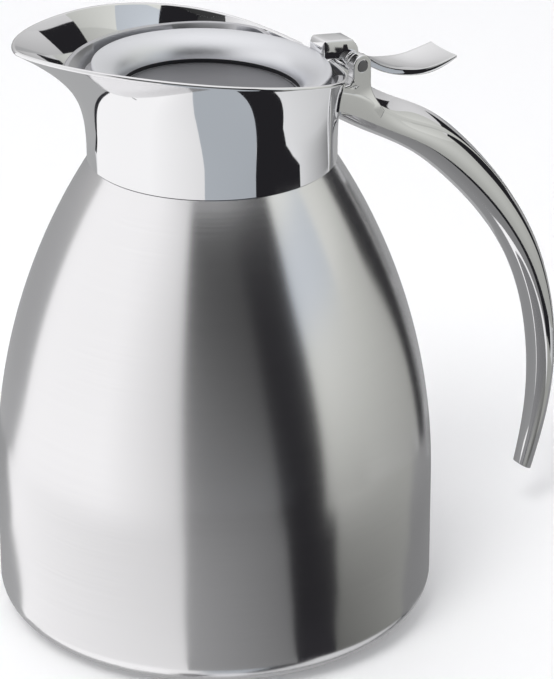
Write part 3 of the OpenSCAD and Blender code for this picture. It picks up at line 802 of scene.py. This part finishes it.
# The front is grey and dims upwards, with a light strip high above it. A black flag stands
# on its right.
card("card_front", cool, [
    (-80, -14, 44, 0.5, 0.5), (-60, -13, 44, 0.5, 0.5), (-42, -10, 43, 0.5, 0.49), (-28, -7, 41, 0.51, 0.48),
    (-21, -7, 40, 0.51, 0.47)])
card("card_front_up", plain, [
    (-20.9, -16, 34, 0.27, 0.17), (-12, -16, 33, 0.23, 0.15), (3, -17, 28, 0.19, 0.09),
    (20, -18, 24, 0.11, 0.06), (36, -20, 18, 0.06, 0.04)])
card("front_top", plain, [
    (36, -20, 55, 0.05, 0.03), (43, -22, 59, 0.06, 0.05), (43.1, -22, 59, 0.5, 0.45), (45, -52, 60, 0.6, 0.5),
    (52, -50, 60, 0.8, 0.75), (60, -44, 60, 0.9, 0.9)])
flag("flag_right", [
    (-80, 44, 80), (-60, 44, 78), (-42, 43, 71), (-33, 42, 73), (-28, 41, 80), (-24.5, 40, 88), (-21, 40, 88),
    (-20.9, 33, 59), (-17, 33, 59), (-12, 32, 58.5), (3, 28, 56), (20, 24, 52.5), (36, 18, 55)])

# The right is lit again, up to a black flag behind the handle.
card("card_right", plain, [
    (-80, 80, 134, 0.8, 0.62), (-60, 78, 134, 0.8, 0.62), (-42, 71, 134, 0.82, 0.62),
    (-33, 73, 134, 0.83, 0.55), (-28, 80, 134, 0.84, 0.32), (-24.5, 88, 134, 0.76, 0.25),
    (-21, 88, 134, 0.76, 0.25)])
card("card_right_side", pale, [
    (-20.9, 59, 137, 0.42, 0.37), (-17, 59, 134.5, 0.46, 0.38), (-12, 58.5, 132, 0.54, 0.4),
    (3, 56, 117, 0.76, 0.48), (12, 54, 119, 0.78, 0.5)])
card("card_right_up", cool, [(12, 54, 88, 0.74, 0.62), (20, 52.5, 88, 0.74, 0.62), (30, 54, 88, 0.7, 0.62)])
card("card_right_far", pale, [
    (12, 88, 119, 0.76, 0.56), (15.5, 88, 120, 0.76, 0.58), (30, 88, 132, 0.74, 0.6)])
card("card_right_top", pale, [(30, 54, 132, 0.8, 0.8), (36, 55, 132, 0.84, 0.8), (45, 60, 132, 0.9, 0.9)])
flag("flag_back", [
    (-80, 134, 144), (-21, 137, 148), (-14, 133, 147), (-6, 124, 141), (0, 116, 141), (3, 117, 146),
    (12, 119, 146), (15.5, 120, 145)])

# Behind the jug the cards are a mid grey, lighter above, and white overhead. Two small
# black flags stand low on the left.
flag("flag_left", [(-65, -138, -134), (-24, -138, -134)], 0.03)
flag("flag_below", [(-89, -150, -30), (-80, -150, -40), (-70, -150, -100)], 0.03)
card("backdrop", plain, [
    (-80, 144, 222, 0.42, 0.44), (-24, 147.5, 222, 0.42, 0.44), (-20, 148, 230, 0.4, 0.42),
    (-15, 147, 239, 0.34, 0.4), (-7, 141, 241, 0.34, 0.4), (3, 146, 242, 0.42, 0.42)])
card("backdrop_up", white, [
    (3, 146, 242, 0.5, 0.42), (15.5, 145, 242, 0.66, 0.5), (15.6, 120, 242, 0.66, 0.5),
    (28, 132, 242, 0.76, 0.7), (45, 132, 242, 0.9, 0.9)])
card("card_above", white, [(45, 60, 308, 0.78, 0.78), (60, 60, 316, 0.92, 0.92)])
card("card_top", white, [(60, -180, 180, 0.92, 0.92), (75, -180, 180, 1.0, 1.0), (89, -180, 180, 1.0, 1.0)])

# On the table the same bands go on up to the foot of the jug.
card("table_left", white, [
    (0.068, -70, -8, 1.0, 0.8), (0.11, -104, -11.5, 1.02, 0.74), (0.16, -117, -12.5, 1.04, 0.7),
    (0.22, -127, -13.5, 1.05, 0.69)], on_table)
card("table_front", plain, [
    (0.068, -8, 24, 0.34, 0.19), (0.11, -11.5, 29, 0.33, 0.17), (0.16, -12.5, 30.3, 0.29, 0.17),
    (0.22, -13.5, 30.5, 0.27, 0.16)], on_table)
card("table_dark", black, [
    (0.068, 24, 36.5, 0.03, 0.03), (0.11, 29, 48.5, 0.02, 0.02), (0.16, 30.3, 53.5, 0.02, 0.02),
    (0.22, 30.5, 55.5, 0.02, 0.02)], on_table)
card("table_right", pale, [
    (0.068, 36.5, 66, 0.12, 0.26), (0.11, 48.5, 94, 0.17, 0.3), (0.16, 53.5, 106, 0.28, 0.37),
    (0.22, 55.5, 115, 0.38, 0.37)], on_table)
card("table_back", plain, [
    (0.068, 66, 290, 0.22, 0.4), (0.11, 94, 256, 0.22, 0.36), (0.16, 106, 243, 0.28, 0.32),
    (0.22, 115, 233, 0.32, 0.32)], on_table)

# ---- Floor, room and lamp ----
# A sheet of white paper under the jug, a plain pale room around it and one soft round lamp
# above on the left, which gives the shadow.

floor_half = 4
floor_mesh = bpy.data.meshes.new("floor")
floor_corners = [(x * floor_half, y * floor_half, 0) for x, y in ((-1, -1), (1, -1), (1, 1), (-1, 1))]
floor_mesh.from_pydata(floor_corners, [], [(0, 1, 2, 3)])
floor = placed("floor", floor_mesh)
paper = Finish("white_paper", (0.98, 0.98, 0.98), 0.6, 0.0)
paper.shader.inputs["Specular IOR Level"].default_value = 0.1
floor_mesh.materials.append(paper.material)
floor.visible_glossy = False

room_grey, behind_white = (0.8, 0.8, 0.82, 1), (1, 1, 1, 1)
world = bpy.data.worlds.new("studio")
bpy.context.scene.world = world
world.use_nodes = True
room = world.node_tree
backdrop = room.nodes["Background"]
backdrop.inputs["Strength"].default_value = 1.0
path, choose = room.nodes.new("ShaderNodeLightPath"), room.nodes.new("ShaderNodeMix")
choose.data_type = "RGBA"
choose.inputs[6].default_value = room_grey
choose.inputs[7].default_value = behind_white
room.links.new(path.outputs["Is Camera Ray"], choose.inputs[0])
room.links.new(choose.outputs[2], backdrop.inputs["Color"])

key = bpy.data.lights.new("key", "AREA")
key.shape, key.size, key.energy = "DISK", 0.9, 14
key_place, key_aim = Vector((-0.9, -0.6, 1.6)), Vector((0.9, 0.6, -1.5))
lamp = placed("key", key)
lamp.location = key_place
lamp.rotation_euler = key_aim.to_track_quat("-Z", "Y").to_euler()
lamp.visible_glossy = False

# ---- Camera ----
# A long lens a metre away, between the spout and the jug's side, looks down on the lid,
# with the jug filling the frame from edge to edge.

eye_place, eye_tilt, eye_turn = (-0.4842, -0.8734, 0.5267), 66.083, -30.08
eye = bpy.data.cameras.new("camera")
eye.lens, eye.sensor_width, eye.sensor_fit = 195.6, 36, "AUTO"
eye.clip_start = 0.01
camera = placed("camera", eye)
camera.location = eye_place
camera.rotation_euler = (radians(eye_tilt), 0, radians(eye_turn))
bpy.context.scene.camera = camera
bpy.context.scene.view_settings.view_transform = "Standard"
